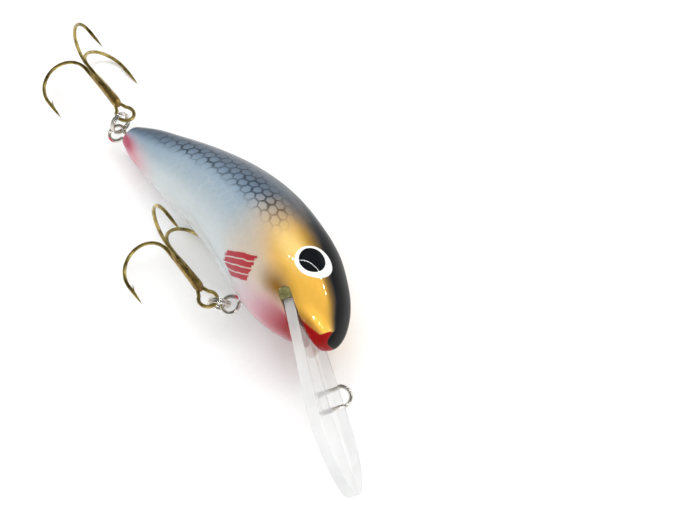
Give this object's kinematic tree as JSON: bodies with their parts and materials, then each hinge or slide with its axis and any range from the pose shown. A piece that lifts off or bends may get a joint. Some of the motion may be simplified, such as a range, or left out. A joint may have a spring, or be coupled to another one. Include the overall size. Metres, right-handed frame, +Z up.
{
  "type": "crankbait lure",
  "caption": "Deep-diving fishing lure with a glossy fish-shaped body, a clear diving bib, a wire tow eye and treble hooks on split rings, lying on its side.",
  "frame": {"origin": "centre of the bounding box's footprint, on the table plane, with the lure lying on its left flank", "axes": "+X from the tail hook towards the nose and bib, +Y towards the lure's back, +Z up from the table, out of its right flank"},
  "size_m": [0.128, 0.04, 0.0259],
  "materials": {
    "painted_body": "airbrushed paint under a high-gloss clear coat",
    "clear_bib": "clear, polished",
    "olive_glue": "cured resin, slightly cloudy",
    "nickel_wire": "bright nickel plate",
    "bronze_hook": "bronzed and lacquered",
    "lead_ballast": "dull",
    "steel_ball": "polished"
  },
  "bodies": {
    "lure_body": {"body_shell_right": "painted_body", "body_shell_left": "painted_body", "diving_bib": "clear_bib", "slot_glue": "olive_glue", "tow_eye_wire": "nickel_wire", "belly_hanger": "nickel_wire", "tail_hanger": "nickel_wire", "belly_ballast": "lead_ballast"},
    "belly_ring": {"belly_split_ring": "nickel_wire"},
    "belly_treble": {"belly_treble_double_hook": "bronze_hook", "belly_treble_single_hook": "bronze_hook"},
    "tail_ring": {"tail_split_ring": "nickel_wire"},
    "tail_treble": {"tail_treble_double_hook": "bronze_hook", "tail_treble_single_hook": "bronze_hook"},
    "front_rattle": {"rattle_ball_front": "steel_ball"},
    "rear_rattle": {"rattle_ball_rear": "steel_ball"}
  },
  "joints": [
    {"name": "belly_ring_swing", "type": "hinge", "parent": "lure_body", "child": "belly_ring", "pos_m": [0.01323, -0.00713, 0.00921], "axis": [-0.1229, -0.299, 0.9463], "range_deg": [0, 120]},
    {"name": "belly_treble_sway", "type": "hinge", "parent": "belly_ring", "child": "belly_treble", "pos_m": [0.00968, -0.00984, 0.00958], "axis": [0.0826, 0.9471, 0.31], "range_deg": [-10, 10]},
    {"name": "tail_ring_swing", "type": "hinge", "parent": "lure_body", "child": "tail_ring", "pos_m": [-0.03976, 0.00372, 0.00575], "axis": [-0.1229, -0.299, 0.9463], "range_deg": [-10, 110]},
    {"name": "tail_treble_sway", "type": "hinge", "parent": "tail_ring", "child": "tail_treble", "pos_m": [-0.04055, 0.00721, 0.00845], "axis": [0.0832, 0.9471, 0.3101], "range_deg": [-10, 28]},
    {"name": "front_rattle_roll", "type": "slide", "parent": "lure_body", "child": "front_rattle", "axis": [0.9917, 0, 0.1288], "range_m": [0, 0.0046]},
    {"name": "rear_rattle_roll", "type": "slide", "parent": "lure_body", "child": "rear_rattle", "axis": [0.9917, 0, 0.1288], "range_m": [0, 0.0096]}
  ]
}
